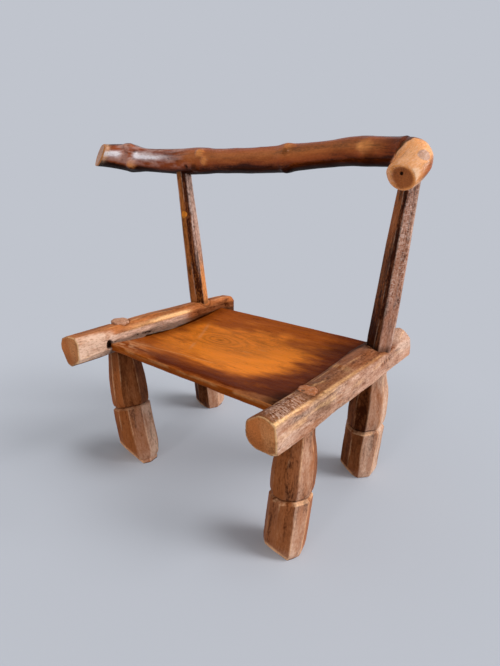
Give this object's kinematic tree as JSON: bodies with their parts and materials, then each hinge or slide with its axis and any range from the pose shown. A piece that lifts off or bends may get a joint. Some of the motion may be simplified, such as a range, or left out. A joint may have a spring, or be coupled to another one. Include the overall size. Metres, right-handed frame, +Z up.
{
  "type": "birthing chair",
  "caption": "Low wooden chair with a cupped seat between two hewn rails on grooved legs, and a crest rail made of a natural branch that two slim posts hold up.",
  "frame": {"origin": "on the floor, under the middle of the whole chair's width and depth", "axes": "+X to the right of someone who faces the chair's front, along the crest rail; +Y to the back; +Z up"},
  "size_m": [0.547, 0.3425, 0.4538],
  "materials": {
    "seat_wood": "worn and polished by use",
    "rail_wood": "hewn, edges worn pale",
    "leg_wood": "carved in facets, satin",
    "post_wood": "carved in facets, oiled",
    "crest_wood": "dark and polished by hands"
  },
  "bodies": {
    "root": {"seat_board": "seat_wood", "left_rail": "rail_wood", "right_rail": "rail_wood", "left_post": "post_wood", "right_post": "post_wood", "crest_rail": "crest_wood", "front_left_leg": "leg_wood", "front_right_leg": "leg_wood", "back_left_leg": "leg_wood", "back_right_leg": "leg_wood"}
  },
  "joints": []
}
